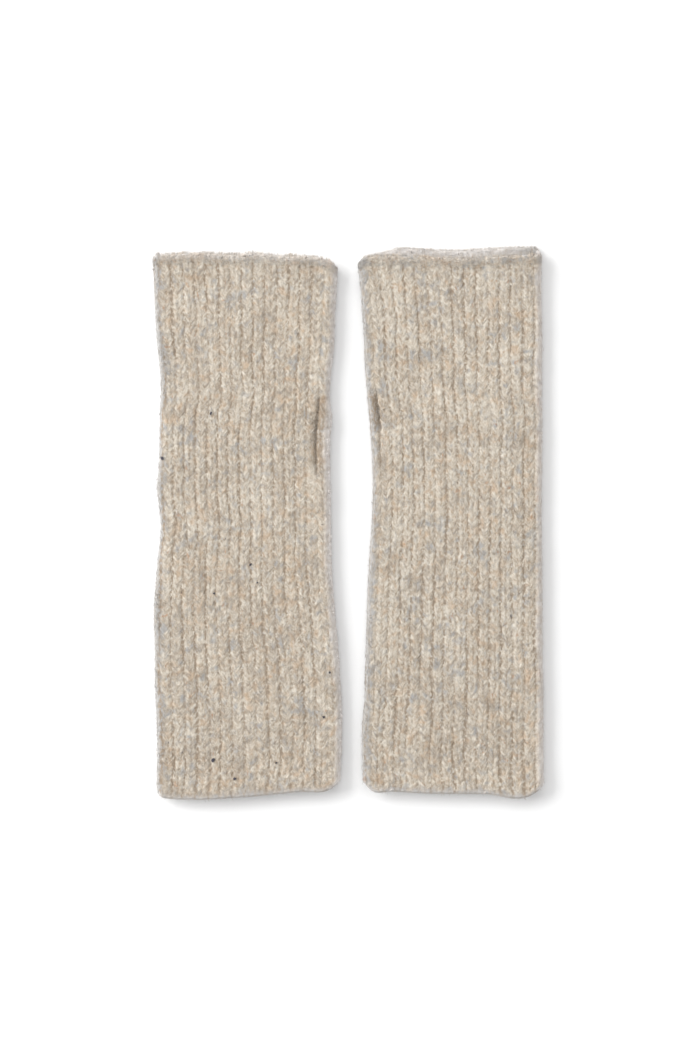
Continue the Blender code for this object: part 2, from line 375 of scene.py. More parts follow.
def make_piece(warmer, kind, points, faces, heather, yarn, loose=False):
    """A mesh object from arrays, with its blend and its yarn map, in the scene and on its body.

    The heather array holds, for each point, what heather_at gives. Faces are arrays of corner indices, one
    array for each number of corners. They are turned over on the left tube, whose cloth coordinates are a
    mirror image. Loose fibres have flat faces and a wool of their own.
    """
    points, heather, yarn = points.reshape(-1, 3), heather.reshape(-1, 5), yarn.reshape(-1, 2)
    if warmer is LEFT:
        faces = [corners[:, ::-1] for corners in faces]
    corner_list = np.concatenate([corners.ravel() for corners in faces])
    sizes = np.concatenate([np.full(len(corners), corners.shape[1]) for corners in faces])
    name = f"{warmer.name}_{kind}"
    mesh = bpy.data.meshes.new(name)
    mesh.vertices.add(len(points))
    mesh.vertices.foreach_set("co", points.ravel())
    mesh.loops.add(len(corner_list))
    mesh.loops.foreach_set("vertex_index", corner_list)
    mesh.polygons.add(len(sizes))
    mesh.polygons.foreach_set("loop_start", np.cumsum(sizes) - sizes)
    mesh.polygons.foreach_set("use_smooth", np.full(len(sizes), not loose))
    mesh.update(calc_edges=True)
    blend = mesh.attributes.new("heather", "FLOAT_VECTOR", "POINT")
    blend.data.foreach_set("vector", heather[:, :3].ravel())
    for column, field in ((3, "bloom"), (4, "furrow")):
        values = mesh.attributes.new(field, "FLOAT", "POINT")
        values.data.foreach_set("value", heather[:, column].copy())
    mesh.uv_layers.new(name="yarn").data.foreach_set("uv", yarn[corner_list].ravel())
    mesh.materials.append(wool_material(loose))
    piece = bpy.data.objects.new(name, mesh)
    bpy.context.scene.collection.objects.link(piece)
    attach(piece, "root")
    return piece


def spindle_faces(count, rings, sides):
    """Faces of count spindles. Each has a tip, then rings of points, then the other tip."""
    side = np.arange(sides)
    after = (side + 1) % sides
    first = 1 + sides * np.arange(rings - 1)[:, None]
    quads = np.stack([first + side, first + after, first + sides + after, first + sides + side], axis=-1)
    last = 1 + (rings - 1) * sides
    start = np.stack([np.zeros(sides, int), 1 + after, 1 + side], axis=1)
    finish = np.stack([np.full(sides, rings * sides + 1), last + side, last + after], axis=1)
    offsets = (np.arange(count) * (rings * sides + 2))[:, None, None]
    tris = np.concatenate([start, finish])
    return [(quads.reshape(-1, 4) + offsets).reshape(-1, 4), (tris + offsets).reshape(-1, 3)]


def spindles(lines, half_width, half_thickness, angles):
    """Points of spindles round their centre lines, count by points by 3, and their yarn coordinates.

    Lines are count by rings + 2 by 3, from tip to tip, in millimetres of cloth: round, along and out. Each
    ring is an ellipse whose wide axis is square to the line within the cloth.
    """
    count, inner = len(lines), lines[:, 1:-1]
    heading = lines[:, 2:] - lines[:, :-2]
    heading /= np.linalg.norm(heading, axis=-1, keepdims=True)
    across = np.stack([-heading[..., 1], heading[..., 0], np.zeros(heading.shape[:-1])], axis=-1)
    across /= np.linalg.norm(across, axis=-1, keepdims=True) + 1e-9
    out = np.cross(heading, across)
    wide = (half_width[..., None] * np.cos(angles))[..., None] * across[:, :, None, :]
    thick = (half_thickness[..., None] * np.sin(angles))[..., None] * out[:, :, None, :]
    rings = inner[:, :, None, :] + wide + thick
    points = np.concatenate([lines[:, :1], rings.reshape(count, -1, 3), lines[:, -1:]], axis=1)
    steps = np.linalg.norm(np.diff(lines, axis=1), axis=-1)
    travelled = np.concatenate([np.zeros((count, 1)), np.cumsum(steps, axis=1)], axis=1)
    round_it = np.broadcast_to(angles / (2 * np.pi) * 4, (*inner.shape[:2], len(angles)))
    far_along = np.broadcast_to(travelled[:, 1:-1, None], round_it.shape)
    yarn = np.stack([round_it, far_along], axis=-1).reshape(count, -1, 2)
    first, final = (np.stack([np.ones(count), travelled[:, tip]], axis=-1)[:, None] for tip in (0, -1))
    return points, np.concatenate([first, yarn, final], axis=1)


def laid(spot, points, relief):
    """Place, height and stand of points in millimetres round, along and out from spots on a relief."""
    place, height, stand = spot
    place, height = place + points[..., 0] / RIB_PITCH, height + points[..., 1]
    return place, height, stand + points[..., 2] + relief(place, height)


# ---------------- how the yarn is blended


def heather_at(warmer, place, height, own=0.0):
    """How the yarn is blended at a place: its greyness, warmth, fleck, painted light and painted shade, from
    0 up.

    Greyness is the tube's tone, noise, and each rib's and stitch's own share, and warmth is noise. Painted
    shade makes the fold that faces the light and the arm end greyer and cooler, and the lower part of the
    tube, the hand rim and the slit's lip greyer, with blotches of it off the crests, and painted light makes
    a strip just under the band paler. The fleck is high in few places. The painted light is pale, along the
    fold in the shade, at the ends and inside the hand end. The painted shade is 1 in the furrows between two
    ribs, fades towards their crests, where a crease of it runs, is weaker in the band and at the closed seam,
    stronger towards the arm end, and deep at the slit and on its lip.
    """
    low, high = ends_of(warmer)
    to_arm, to_hand = height - low, high - height
    noise = noise_of(warmer, place, height)
    grey = (
        warmer.tone
        + 0.09 * noise(3, 2.3, 15)
        + 0.14 * noise(4, 0.9, 5.5)
        + 0.16 * noise(9, 0.45, 2.2)
        + 0.13 * rib_noise(warmer, 19, np.floor(place), height, 11)
        + own
    )
    warm = 0.5 + 0.15 * noise(5, 1.4, 7) + 0.28 * noise(6, 0.55, 2.8) + 0.30 * noise(17, 0.28, 1.4)
    fleck = 0.5 + 0.5 * noise(7, 0.33, 2.2)
    # The fold that faces the light takes painted shade, and the fold in the shade takes painted light.
    lit, shaded = (hill(place - fold, 0.7, 4) for fold in warmer.folds)
    at_arm = hill(to_arm, 2.2)
    lower = np.clip(1 - to_arm / 110, 0, 1)
    lip = openness(warmer, height) * hill(RIBS_ROUND - place - 0.3, 0.35)
    rim = (1.1 - warmer.fluff) * hill(to_hand, 0.8)
    # Painted shade, greyer: on the fold that faces the light, at the arm end, towards the arm end, on the
    # hand rim and on the slit's lip.
    grey = grey + 1.0 * lit + 0.65 * at_arm + 0.09 * lower + 0.9 * rim + 0.8 * lip
    # Painted light, paler: a strip just under the band, against the shade along its lower edge.
    grey = grey - 0.3 * hill(to_hand - 4.2, 1.2)
    # Painted shade, cooler: on the fold that faces the light and at the arm end.
    warm = warm - 0.8 * lit - 0.6 * at_arm
    # Pale painted light: along the fold in the shade, at the hand rim, at the arm end and inside the back
    # layer at the hand end.
    at_hand = (1.2 * warmer.fluff - 0.75) * hill(to_hand, 3.2, 4)
    at_back = hill(to_hand, 5, 4) * (np.abs(place - 23.2) < 7.7)
    bloom = warmer.fluff * shaded + at_hand + 0.4 * at_arm + 0.5 * at_back
    away = off_crest(place)
    this_furrow = 1 + 0.6 * rib_noise(warmer, 14, np.round(place), height, 32)
    this_crease = 1 + 0.7 * rib_noise(warmer, 15, np.floor(place), height, 32)
    # Painted shade in the furrows, and along a crease in the middle of each rib.
    between = 1.15 * away**3.2 * this_furrow + 0.5 * hill(away, 0.24) * this_crease
    between = between * (1 - 0.6 * at_closed_seam(warmer, place, height))
    # Blotches of painted shade, greyer off the crests.
    shade_blotches = np.clip(2.2 * noise(16, 0.36, 1.7) - 0.7, 0, 1)
    grey = grey + 0.4 * shade_blotches * away
    above_band = 0.4 + 0.6 * np.clip((to_hand - BAND) / 0.8, 0, 1)
    # All the painted shade: weaker in the band, stronger towards the arm end, deep at the slit and on its
    # lip.
    furrow = above_band * between * (1 + 0.3 * lower) + 0.5 * at_slit(warmer, place, height) + 0.9 * lip
    blend = ((grey, 1), (warm, 1), (fleck, 1), (bloom, 1), (furrow, 1.8))
    return np.stack(np.broadcast_arrays(*(np.clip(values, 0, top) for values, top in blend)), axis=-1)


def line_inside(blend, stand, inside_painted_light):
    """Makes the blend of points on the inside of a tube cool, with as much pale painted light as given."""
    within = stand < -0.8 * WALL
    blend[..., 1] -= 0.8 * within
    blend[..., 3] = np.where(within, inside_painted_light, blend[..., 3])


# ---------------- shaders


class Wire:
    """A shader socket that takes part in Python expressions. Each operator adds a Math node."""

    def __init__(self, shader, socket):
        self.shader = shader
        self.socket = socket

    def maths(self, operation, left, right):
        return self.shader.node("ShaderNodeMath", {"operation": operation}, {0: left, 1: right})

    def __add__(self, other):
        return self.maths("ADD", self, other)

    def __radd__(self, other):
        return self.maths("ADD", other, self)

    def __sub__(self, other):
        return self.maths("SUBTRACT", self, other)

    def __rsub__(self, other):
        return self.maths("SUBTRACT", other, self)

    def __mul__(self, other):
        return self.maths("MULTIPLY", self, other)

    def __rmul__(self, other):
        return self.maths("MULTIPLY", other, self)


class Shader:
    """A material whose nodes are made by one method."""

    def __init__(self, name):
        self.material = bpy.data.materials.new(name)
        self.material.use_nodes = True
        self.tree = self.material.node_tree
        self.tree.nodes.clear()

    def node(self, kind, settings, sockets, output=0):
        """Adds a node, sets its own settings, fills its sockets with values or wires and gives an output."""
        made = self.tree.nodes.new(kind)
        for setting, value in settings.items():
            if setting == "stops":
                self.set_stops(made.color_ramp, value)
            else:
                setattr(made, setting, value)
        for socket, value in sockets.items():
            if isinstance(value, Wire):
                self.tree.links.new(value.socket, made.inputs[socket])
            else:
                made.inputs[socket].default_value = value
        return Wire(self, made.outputs[output] if made.outputs else None)

    def set_stops(self, ramp, stops):
        """Gives a colour ramp its stops, each a position and a value or a colour."""
        while len(ramp.elements) < len(stops):
            ramp.elements.new(1)
        for element, (position, value) in zip(ramp.elements, stops):
            element.position = position
            element.color = (*value, 1) if hasattr(value, "__len__") else (value, value, value, 1)

    def noise(self, vector, scale, detail=2.0, roughness=0.5):
        """Noise from 0 to 1, about 0.5."""
        return self.node(
            "ShaderNodeTexNoise",
            {"noise_dimensions": "3D"},
            {"Vector": vector, "Scale": scale, "Detail": detail, "Roughness": roughness},
        )

    def scaled(self, vector, factors):
        """A vector or a colour times factors of its own for each of its three numbers."""
        return self.node("ShaderNodeVectorMath", {"operation": "MULTIPLY"}, {0: vector, 1: factors})

    def place_along_ribs(self):
        """The place on the object, with distances along the ribs shortened to draw patterns out there."""
        return self.scaled(self.node("ShaderNodeTexCoord", {}, {}, 3), (1.0, 0.55, 1.0))

    def ramp(self, factor, stops):
        """A colour ramp through stops."""
        return self.node("ShaderNodeValToRGB", {"stops": stops}, {0: factor})

    def blend(self, factor, first, colour):
        """A colour turned by a factor to another, which is given as its three numbers."""
        return self.node("ShaderNodeMix", {"data_type": "RGBA"}, {0: factor, 6: first, 7: (*colour, 1.0)}, 2)

    def carried(self):
        """What heather_at has given to the points: greyness, warmth, fleck, painted light and painted shade.
        """
        blend = self.node("ShaderNodeAttribute", {"attribute_name": "heather"}, {}, 1)
        split = self.node("ShaderNodeSeparateXYZ", {}, {0: blend})
        fields = [Wire(self, output) for output in split.socket.node.outputs]
        for name in ("bloom", "furrow"):
            fields.append(self.node("ShaderNodeAttribute", {"attribute_name": name}, {}, 2))
        return fields

    def heathered(self, tone, warmth, colours):
        """From the pale fibres to the brown ones by tone, with tan and slate ones by warmth."""
        base = self.ramp(tone, [(0.1, colours.pale), (0.5, colours.oat), (0.9, colours.umber)])
        base = self.blend(self.ramp(warmth, [(0.6, 0.0), (1.0, 0.6)]), base, colours.tan)
        return self.blend(self.ramp(warmth, [(0.0, 0.9), (0.36, 0.0)]), base, colours.slate)

    def grain(self, colour, spot):
        """The colour with the light and the brown grain of felted fibres, finer than the mesh has them."""
        light = self.ramp(self.noise(spot, 660.0, 2.5, 0.78), [(0.28, 0.0), (0.5, 0.66), (0.74, 1.0)])
        return self.scaled(colour, self.blend(light, (0.8, 0.757, 0.697, 1.0), (1.1, 1.11, 1.12)))

    def finish(self, base, colours, more):
        """Ends the material: matt wool of that base colour, with a sheen from its nap."""
        sockets = {
            "Base Color": base,
            "Roughness": 0.95,
            "Specular IOR Level": 0.1,
            "Sheen Weight": colours.sheen,
            "Sheen Tint": (*colours.sheen_tint, 1.0),
        }
        surface = self.node("ShaderNodeBsdfPrincipled", {}, {**sockets, **more})
        self.node("ShaderNodeOutputMaterial", {}, {0: surface})
        return self.material


def knitted_wool(name, colours):
    """Heathered wool in stitches.

    The blend that the mesh carries picks between the fibres' colours, mottled by noise, some of it drawn out
    along the yarn. Rare flecks of rust and ink lie on it, then painted shade in the furrows with a ragged
    edge, pale painted light, and the grain of the fibres. The bump is those fibres.
    """
    shader = Shader(name)
    grey, warm, fleck, bloom, furrow = shader.carried()
    spot = shader.place_along_ribs()
    yarn = shader.node("ShaderNodeUVMap", {"uv_map": "yarn"}, {})
    strands = shader.noise(shader.scaled(yarn, (2.2, 0.55, 1.0)), 1.3, 3.0, 0.6)
    mottle = shader.noise(spot, 900.0, 2.0, 0.6)
    clouds = shader.noise(spot, 260.0, 2.0, 0.5)
    tone = grey + 0.8 * (strands - 0.5) + 0.75 * (mottle - 0.5) + 0.5 * (clouds - 0.5)
    base = shader.heathered(tone, warm + 0.7 * (shader.noise(spot, 420.0, 1.0) - 0.5), colours)
    rust = shader.ramp(fleck + 0.35 * (mottle - 0.5), [(0.9, 0.0), (0.98, 1.0)])
    base = shader.blend(0.6 * rust, base, colours.rust)
    ink = shader.ramp(1.0 - fleck + 0.35 * (strands - 0.5), [(0.93, 0.0), (1.0, 1.0)])
    base = shader.blend(0.55 * ink, base, colours.ink)
    # Painted shade in the furrows, with a ragged edge.
    ragged = shader.ramp(mottle, [(0.38, 0.05), (0.62, 1.1)])
    base = shader.blend(ragged * furrow, base, colours.furrow)
    # Pale painted light, then the grain.
    base = shader.grain(shader.blend(bloom, base, colours.bloom), spot)

    fibres = shader.noise(shader.scaled(yarn, (7.0, 1.2, 1.0)), 1.0, 2.0)
    fluff = shader.noise(spot, 2600.0, 1.0)
    relief = {"Strength": 0.35, "Distance": 0.25 * MM, "Height": fibres + 0.6 * fluff}
    bump = shader.node("ShaderNodeBump", {}, relief)
    return shader.finish(base, colours, {"Sheen Roughness": 0.45, "Normal": bump})


def loose_wool(name, colours):
    """Single fibres of the same blend, with painted shade in the furrows, pale painted light, grain and
    flecks.
    """
    shader = Shader(name)
    grey, warm, fleck, bloom, furrow = shader.carried()
    base = shader.heathered(grey, warm, colours)
    # Painted shade in the furrows.
    base = shader.blend(0.48 * furrow, base, colours.furrow)
    # Pale painted light.
    base = shader.blend(0.9 * bloom, base, colours.bloom)
    base = shader.grain(base, shader.place_along_ribs())
    base = shader.blend(shader.ramp(fleck, [(0.98, 0.0), (0.985, 0.6)]), base, colours.rust)
    base = shader.blend(shader.ramp(fleck, [(0.991, 0.0), (0.995, 0.97)]), base, colours.ink)
    return shader.finish(base, colours, {})


def wool_material(loose):
    """The wool of loose fibres or of stitches, made from the wool's settings if it isn't there yet."""
    name, make = ("wool_in_fibres", loose_wool) if loose else ("wool_in_stitches", knitted_wool)
    return bpy.data.materials.get(name) or make(name, bpy.context.scene.arm_warmer_wool)


# ---------------- the wall

WALL_PER_RIB = 5  # columns of points in each rib of the wall


def wall_heights(warmer, rounding):
    """Heights of the wall's rows, with rows at both ends of the slit and closer ones between them."""
    low, high = ends_of(warmer)
    stops = [low + rounding, warmer.slit_from, warmer.slit_to, high - rounding]
    runs = [
        np.linspace(start, end, 2 + int((end - start) / spacing))[:-1]
        for start, end, spacing in zip(stops, stops[1:], (4.5, 2.5, 4.5))
    ]
    return np.concatenate([*runs, stops[-1:]])


def knit_wall(warmer, settings):
    """The closed wall of a tube, on which the stitches lie.

    Its section is a long loop: up the outer face, round the hand end's rim, down the inner face and round
    the arm end's rim. That loop is carried round the tube, from the seam to the seam. The outer face stands
    out under each rib by the crest. Along the slit the strip between the two edges is left out, and walls
    join the faces there.
    """
    rounding = WALL / 2
    low, high = ends_of(warmer)
    heights = wall_heights(warmer, rounding)
    rim = np.radians(np.linspace(90, -90, 7)[1:-1])
    over_hand = high - rounding + rounding * np.cos(rim)
    over_arm = low + rounding - rounding * np.cos(rim)
    loop_heights = np.concatenate([heights, over_hand, heights[::-1], over_arm])
    face = np.zeros(len(heights))
    on_rim = -rounding + rounding * np.sin(rim)
    loop_stands = np.concatenate([face, on_rim, face - WALL, on_rim[::-1]])[:, None]
    places = np.linspace(0, RIBS_ROUND, RIBS_ROUND * WALL_PER_RIB + 1)
    height, place = np.meshgrid(loop_heights, places, indexing="ij")
    fade = np.clip(np.minimum(height - low, high - height) / 4.0 - 0.3, 0, 1)
    outer = np.clip(1 + loop_stands / 0.3, 0, 1)
    crest = settings.bed_height / MM * rib_crest(place) * fade
    stand = loop_stands + outer * (crest - FURROW_DEPTH - BEDDING)

    outer_rows = len(heights)
    facing = 2 * outer_rows + len(rim) - 1  # an outer row and the inner row behind it add up to this
    index = np.arange(height.size).reshape(height.shape)
    after = np.roll(index, -1, axis=0)
    grid = np.stack([index[:, :-1], index[:, 1:], after[:, 1:], after[:, :-1]], axis=-1).reshape(-1, 4)
    seam = np.stack([index[:, -1], index[:, 0], after[:, 0], after[:, -1]], axis=-1)
    middle = (loop_heights + np.roll(loop_heights, -1)) / 2
    closed = (middle < warmer.slit_from) | (middle > warmer.slit_to)
    slit = np.flatnonzero(~closed[:outer_rows])
    corners = (slit, slit + 1, facing - slit - 1, facing - slit)
    edges = [np.stack([index[row, column] for row in corners], axis=1) for column in (0, -1)]
    tips = np.array([slit[0], slit[-1] + 1])
    front, behind = index[tips], index[facing - tips]
    caps = np.stack([front[:, -1], front[:, 0], behind[:, 0], behind[:, -1]], axis=1)
    faces = np.concatenate([grid, seam[closed], *edges, caps])

    yarn = np.stack([place * RIB_PITCH / 2, height], axis=-1)
    blend = heather_at(warmer, place, height, 0.12)
    # Pale painted light on the inside of the tube, less of it deep in the far fold.
    inside_painted_light = 0.78 + 0.2 * noise_of(warmer, place, height)(13, 0.4, 1.7) - 0.6 * in_far_fold(place)
    line_inside(blend, stand, inside_painted_light)
    points = cloth_to_space(warmer, place, height, stand)
    piece = make_piece(warmer, "knitted_wall", points, [faces], blend, yarn)
    shell = bmesh.new()
    shell.from_mesh(piece.data)
    bmesh.ops.recalc_face_normals(shell, faces=shell.faces[:])
    shell.to_mesh(piece.data)
    shell.free()
    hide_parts(f"{warmer.name}_arm_warmer")


# ---------------- the stitches

LEG_RINGS = np.array([0.14, 0.5, 0.86])  # where a leg's rings stand between its tips
LEG_ANGLES = np.radians([-18, 52, 128, 198])  # its points round a ring, from side to side over the top
FLAT_RINGS = np.array([0.2, 0.75])  # the same for a leg that is pressed flat underneath
FLAT_ANGLES = np.radians([-15, 50, 130, 195])
FACE_PER_RIB = 8  # columns of points in each rib of the knitted face
FACE_PROFILE = np.array([-1.0, 0.25, 0.75, 0.25])  # the yarn's roundness over the points of a row
FACE_SPANS = ((0, 15.875), (30.25, 32))  # the places that it covers, either side of the seam
FACE_DIVE = 0.9  # how far its borders dive into the wall
LIP_DIVE = 0.55  # how far it dives at the open slit
CHAINS_PER_RIB = 2  # legs in each rib of a chained edge


def rib_relief(warmer, settings):
    """The height of the bed of the stitches over the wall, as a function of place and height.

    It is the rib's crest, which fades at the arm end and is lower in the band. The band stands up a little,
    with a broken groove behind it, and the closed seam is filled up.
    """
    low, high = ends_of(warmer)

    def relief(place, height):
        to_arm, to_hand = height - low, high - height
        fade = np.clip((to_arm - 0.8) / 2.5, 0, 1) * (0.4 + 0.6 * np.clip((to_hand - BAND) / 1.2, 0, 1))
        broken = 0.01 + 0.05 * noise_of(warmer, place, height)(12, 0.45, 9)
        band = 0.03 * np.clip((BAND - to_hand) / 0.9, 0, 1) - broken * hill(to_hand - BAND - 0.3, 0.45)
        crest = rib_crest(np.clip(place, 0.001, RIBS_ROUND - 0.001))
        crest = crest + 0.6 * at_closed_seam(warmer, place, height)
        return settings.bed_height / MM * crest * fade + band - FURROW_DEPTH

    return relief


def knit_face(warmer, settings):
    """The knitted face of the upper layer and its folds: sheets of points that follow the stitches.

    The rows of points run zigzag, up from the middle of each rib to its furrows, as the legs of the V do. The
    stand over the wall is the rib's crest, plus the roundness of the yarn across each leg, less a crease in
    the middle, plus felted lumps. The sheets dive into the wall at their borders and at the open slit.
    """
    rng = np.random.default_rng(warmer.seed + 30)
    low, high = ends_of(warmer)
    per_row = len(FACE_PROFILE)
    pitch = settings.row_height / MM
    rows = int((high - low - 0.6) / pitch * per_row)
    base = low + 0.3 + pitch / per_row * np.arange(rows)
    slope = np.tan(settings.leg_lean) * RIB_PITCH / 2
    relief = rib_relief(warmer, settings)
    vary = rng.normal(1, 0.4, (RIBS_ROUND + 1, rows // per_row + 1, 2))
    own = rng.normal(0, 0.15, vary.shape)
    lift = rng.normal(0, 0.02, vary.shape)
    sheets = []
    first = 0
    for start, end in FACE_SPANS:
        columns = np.linspace(start, end, int((end - start) * FACE_PER_RIB) + 1)
        place, height = np.meshgrid(columns, base, indexing="ij")
        away = off_crest(place)
        ease = np.clip(np.minimum(height - low, high - height) / 8, 0, 1)
        stitch = np.broadcast_to(np.arange(rows) // per_row, place.shape)
        rib = np.minimum(place.astype(int), RIBS_ROUND - 1)
        which = (rib, stitch, (place % 1 > 0.5).astype(int))
        height = height + (away - 0.5) * slope * ease
        height = height + 0.8 * rib_noise(warmer, 10, rib, height, 23, 2.7) * ease
        roundness = np.broadcast_to(FACE_PROFILE[np.arange(rows) % per_row], place.shape)
        envelope = np.clip(np.sin(np.pi * away), 0, 1) ** 0.6
        lumps = 0.06 * noise_of(warmer, place, height)(31, 0.27, 1.6) + rng.normal(0, 0.025, place.shape)
        stand = 0.15 + relief(place, height) + settings.leg_relief / MM * roundness * envelope * vary[which]
        stand = stand + lift[which] * envelope * (roundness + 1)
        stand = stand - settings.crease / MM * hill(away, 0.2) + lumps
        far_border, at_seam = (0, -1) if start else (-1, 0)
        stand[far_border] -= FACE_DIVE
        stand[at_seam] -= LIP_DIVE * openness(warmer, height[at_seam])
        stand[:, [0, -1]] -= FACE_DIVE
        index = first + np.arange(place.size).reshape(place.shape)
        first += place.size
        sheets.append(
            (
                cloth_to_space(warmer, place, height, stand),
                np.stack([index[:-1, :-1], index[1:, :-1], index[1:, 1:], index[:-1, 1:]], axis=-1),
                heather_at(warmer, place, height, own[which] + rng.normal(0, 0.2, place.shape)),
                np.stack([np.broadcast_to(base, place.shape), place * RIB_PITCH], axis=-1),
            )
        )
    points, faces, blend, yarn = (np.concatenate(parts) for parts in zip(*sheets))
    make_piece(warmer, "knitted_face", points, [faces.reshape(-1, 4)], blend, yarn)


def stitch_legs(warmer, kind, legs, rings, angles, relief):
    """Legs of stitches as one mesh: each is a spindle of yarn whose two ends dive into the cloth.

    Legs hold, as arrays, the place, height and stand of their middles, their heading from the direction round
    the tube, their length, width and thickness, and their own share of grey.
    """
    *spot, heading, length, width, thickness, own = (values[:, None] for values in legs)
    count = len(own)
    rng = np.random.default_rng(warmer.seed + count)
    share = np.concatenate([[0], rings, [1]])
    hump = 0.6 * share * (1 - share) + 0.15 * (1 - share) - 0.1 * share
    bend = rng.normal(0, 0.12, (count, 1)) * np.sin(np.pi * share)
    run = (share - 0.5) * length
    across = run * np.cos(heading) - bend * np.sin(heading)
    along = run * np.sin(heading) + bend * np.cos(heading)
    line = np.stack([across, along, hump * thickness * 1.5], axis=-1)
    swell = np.sin(np.pi * (0.1 + 0.8 * rings)) ** 0.55
    lumpy = 1 + rng.normal(0, 0.09, (count, len(rings)))
    points, yarn = spindles(line, width / 2 * swell * lumpy, thickness / 2 * swell * lumpy, angles)
    place, height, stand = laid(spot, points + rng.normal(0, 0.06, points.shape), relief)
    yarn = yarn + rng.uniform(0, 50, (2, count)).T[:, None]
    faces = spindle_faces(count, len(rings), len(angles))
    space = cloth_to_space(warmer, place, height, stand)
    make_piece(warmer, kind, space, faces, heather_at(warmer, place, height, own), yarn)


def knit_underside(warmer, settings):
    """The stitches of the lower layer: in each rib a column of V, whose two legs meet at the bottom.

    They are pressed flat, because the tube lies on them.
    """
    rng = np.random.default_rng(warmer.seed)
    low, high = ends_of(warmer)
    pitch = settings.row_height / MM
    rows = int((high - low - 5) / pitch)
    heights = low + 1 + pitch * (np.arange(rows) + 0.5)
    grid = np.meshgrid(np.arange(15, 31), heights, [-1, 1], indexing="ij")
    rib, height, side = (values.ravel() for values in grid)

    def vary(spread):
        return rng.normal(0, spread, len(rib)) * settings.unevenness

    place = rib + 0.5 + (side * 1.28 + vary(0.11)) / RIB_PITCH
    strayed = 0.25 * rib_noise(warmer, 10, rib, height, 23, 2.7) * settings.unevenness
    height = height + (vary(0.12) + strayed)
    stand = 0.10 + vary(0.08)
    lean = settings.leg_lean + np.radians(vary(5.5))
    heading = np.where(side > 0, lean, np.pi - lean)
    length = settings.leg_length / MM * (1 + vary(0.06))
    width = settings.leg_width / MM * (1 + vary(0.10))
    thickness = settings.leg_thickness / MM * (1 + vary(0.08))
    legs = (place, height, stand, heading, length, width, thickness, rng.normal(0, 0.13, len(rib)))
    stitch_legs(warmer, "under_stitches", legs, FLAT_RINGS, FLAT_ANGLES, rib_relief(warmer, settings))


def chain_edges(warmer):
    """The chained edges: rows of slanting legs that lean by turns, over each rim from outside to inside."""
    rng = np.random.default_rng(warmer.seed + 50)
    low, high = ends_of(warmer)
    places = (np.arange(RIBS_ROUND * CHAINS_PER_RIB) + 0.5) / CHAINS_PER_RIB

    def vary(spread, middle=0):
        return rng.normal(middle, spread, len(places))

    def row(height, stand, lean):
        legs = [places + vary(0.03), height + vary(0.13), stand + vary(0.1), np.radians(lean + vary(8))]
        sizes = [3.7 * (1 + vary(0.08)), 1.7 * (1 + vary(0.1)), 0.4 * (1 + vary(0.1))]
        return [*legs, *sizes, vary(0.1, -0.02)]

    rows = [row(high - 2.6, -0.1, 24), row(high - 1.3, -0.25, -24), row(low + 1.7, -0.35, 30)]
    legs = [np.concatenate(values) for values in zip(*rows)]
    stitch_legs(warmer, "chained_edges", legs, LEG_RINGS, LEG_ANGLES, lambda place, height: 0)


# ---------------- the nap

SLIVER_FACES = np.array([[0, 2, 1], [3, 1, 2], [0, 1, 3], [0, 3, 2]])
SHARES = 20  # the shares that the set number of fibres is dealt out in, of which the patches take 24
# A patch of fibres: its shares, and its ranges of place, height, stand, heading round the tube, rise out of
# it, length and width. Combed fibres head along the legs of the stitches.
Patch = namedtuple("Patch", "share places heights stands headings rises lengths widths")
COMBED = "combed"
ANY_WAY = (-np.pi, np.pi)


def slivers(warmer, kind, roots, relief, rng):
    """Loose fibres as one mesh: each is a thin sliver with a root, a tip and two points beside its middle.

    Roots hold, as arrays, place, height, stand, heading round the tube, rise out of it, length, width and
    fleck. The tip is the length away along the heading and the rise, and the middle stands off the straight
    line between them, sideways and outwards.
    """
    *spot, heading, rise, length, width, fleck = (values[:, None] for values in roots)
    count = len(fleck)
    none = np.zeros((count, 1))
    level = np.cos(rise)
    tip = np.concatenate([np.cos(heading) * level, np.sin(heading) * level, np.sin(rise)], axis=1) * length
    across = np.concatenate([-np.sin(heading), np.cos(heading), none], axis=1)
    middle = tip * rng.uniform(0.35, 0.65, (count, 1)) + across * (width * rng.normal(0, 0.3, (count, 1)))
    middle[:, 2:] += length * rng.uniform(0.005, 0.03, (count, 1))
    half = across * (width / 2)
    points = np.stack([np.zeros((count, 3)), middle + half, middle - half, tip], axis=1)
    place, height, stand = laid(spot, points, relief)
    own = np.maximum(rng.normal(-0.02, 0.25, (count, 1)), -0.4) + 0.8 * (rng.random((count, 1)) < 0.1)
    blend = heather_at(warmer, place, height, own)
    blend[..., 1] = np.clip(blend[..., 1] + rng.normal(0, 0.3, (count, 1)), 0, 1)
    blend[..., 2] = fleck
    # Fibres inside the tube take pale painted light, less of it deep in the far fold.
    line_inside(blend, stand, rng.uniform(0.5, 0.95, (count, 1)) - 0.5 * in_far_fold(place))
    faces = (SLIVER_FACES + 4 * np.arange(count)[:, None, None]).reshape(-1, 3)
    yarn = np.stack([np.tile([0, 1, -1, 0], count), points[..., 1].ravel()], axis=-1)
    make_piece(warmer, kind, cloth_to_space(warmer, place, height, stand), [faces], blend, yarn, True)


